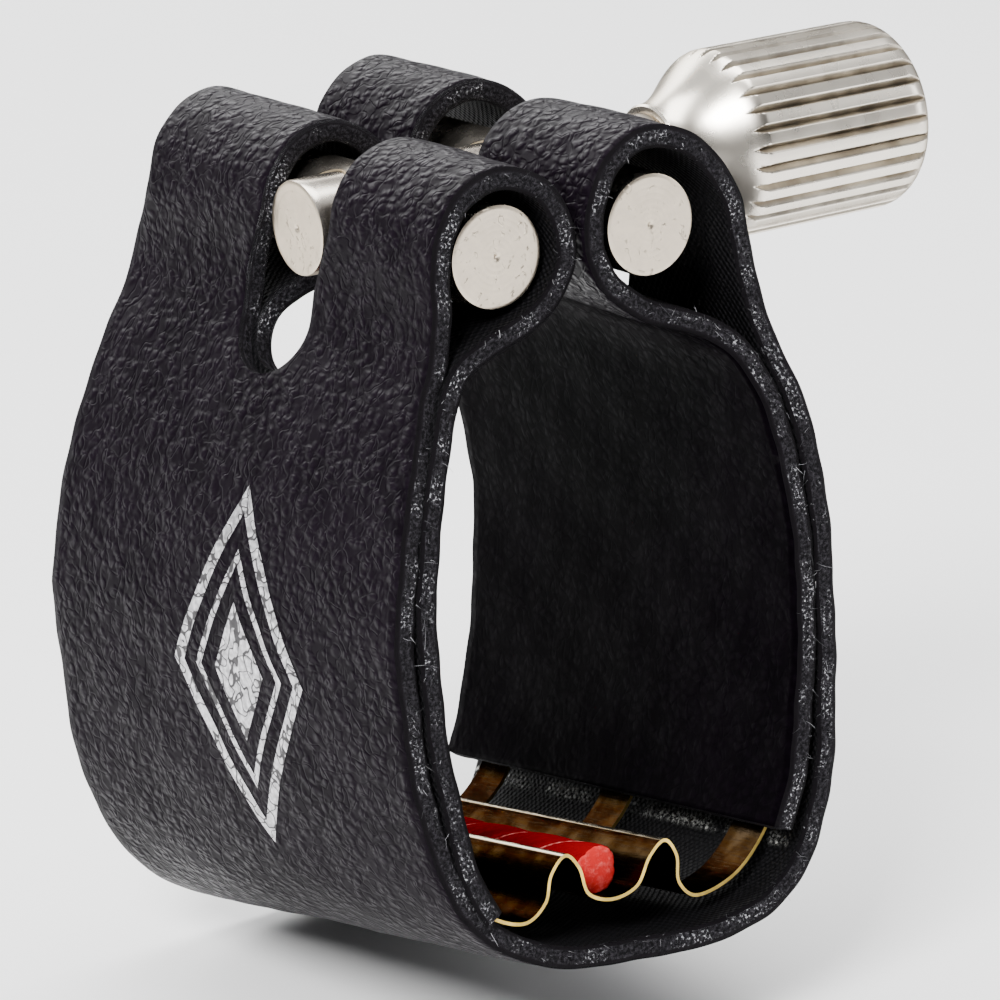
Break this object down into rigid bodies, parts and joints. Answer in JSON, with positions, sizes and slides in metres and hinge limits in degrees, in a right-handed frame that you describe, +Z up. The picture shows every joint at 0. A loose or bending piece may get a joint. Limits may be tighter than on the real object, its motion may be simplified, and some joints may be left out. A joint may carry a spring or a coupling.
{
  "type": "saxophone ligature",
  "caption": "Folded leather strap with two barrels, a fluted thumb screw and a sprung brass plate with a cord, which clamps a reed to a saxophone mouthpiece.",
  "frame": {"origin": "on the mouthpiece axis, half way along the strap", "axes": "+X along the screw to the knob, -Y the narrow front edge, +Z up to the rods"},
  "size_m": [0.0436, 0.0308, 0.0459],
  "materials": {
    "leather": "grained, satin",
    "gilt_brass": "polished gold plate",
    "red_cord": "twisted, waxy",
    "nickel_satin": "satin nickel plate",
    "steel": "threaded"
  },
  "bodies": {
    "base": {"strap_base": "leather", "contact_plate": "gilt_brass", "cord_strip": "red_cord"},
    "left_arm": {"strap_left_arm": "leather"},
    "right_arm": {"strap_right_arm": "leather"},
    "left_barrel": {"left_rod": "nickel_satin", "left_outer_boss": "nickel_satin", "left_inner_boss": "nickel_satin"},
    "right_barrel": {"right_rod": "nickel_satin", "right_inner_boss": "nickel_satin", "right_outer_boss": "nickel_satin"},
    "thumb_screw": {"screw_shank": "steel", "thumb_knob": "nickel_satin"}
  },
  "joints": [
    {"name": "left_arm_flex", "type": "hinge", "parent": "base", "child": "left_arm", "pos_m": [-0.0117, 0, -0.01305], "axis": [0, -1, 0], "range_deg": [0, 4]},
    {"name": "right_arm_flex", "type": "hinge", "parent": "base", "child": "right_arm", "pos_m": [0.0115, 0, -0.01305], "axis": [0, 1, 0], "range_deg": [0, 4]},
    {"name": "left_rod_turn", "type": "hinge", "parent": "left_arm", "child": "left_barrel", "pos_m": [-0.0044, 0, 0.0175], "axis": [0, 1, 0], "range_deg": [0, 4]},
    {"name": "barrel_gap", "type": "slide", "parent": "left_barrel", "child": "right_barrel", "axis": [1, 0, 0], "range_m": [0, 0.004]},
    {"name": "screw_turn", "type": "hinge", "parent": "right_barrel", "child": "thumb_screw", "pos_m": [0, 0, 0.0175], "axis": [1, 0, 0], "range_deg": [0, 2880]}
  ],
  "couplings": [
    {"joint": "screw_turn", "follows": "barrel_gap", "rad_per_m": 12566},
    {"joint": "left_arm_flex", "follows": "barrel_gap", "rad_per_m": 16.232},
    {"joint": "left_rod_turn", "follows": "barrel_gap", "rad_per_m": 16.232},
    {"joint": "right_arm_flex", "follows": "barrel_gap", "rad_per_m": 16.232}
  ]
}
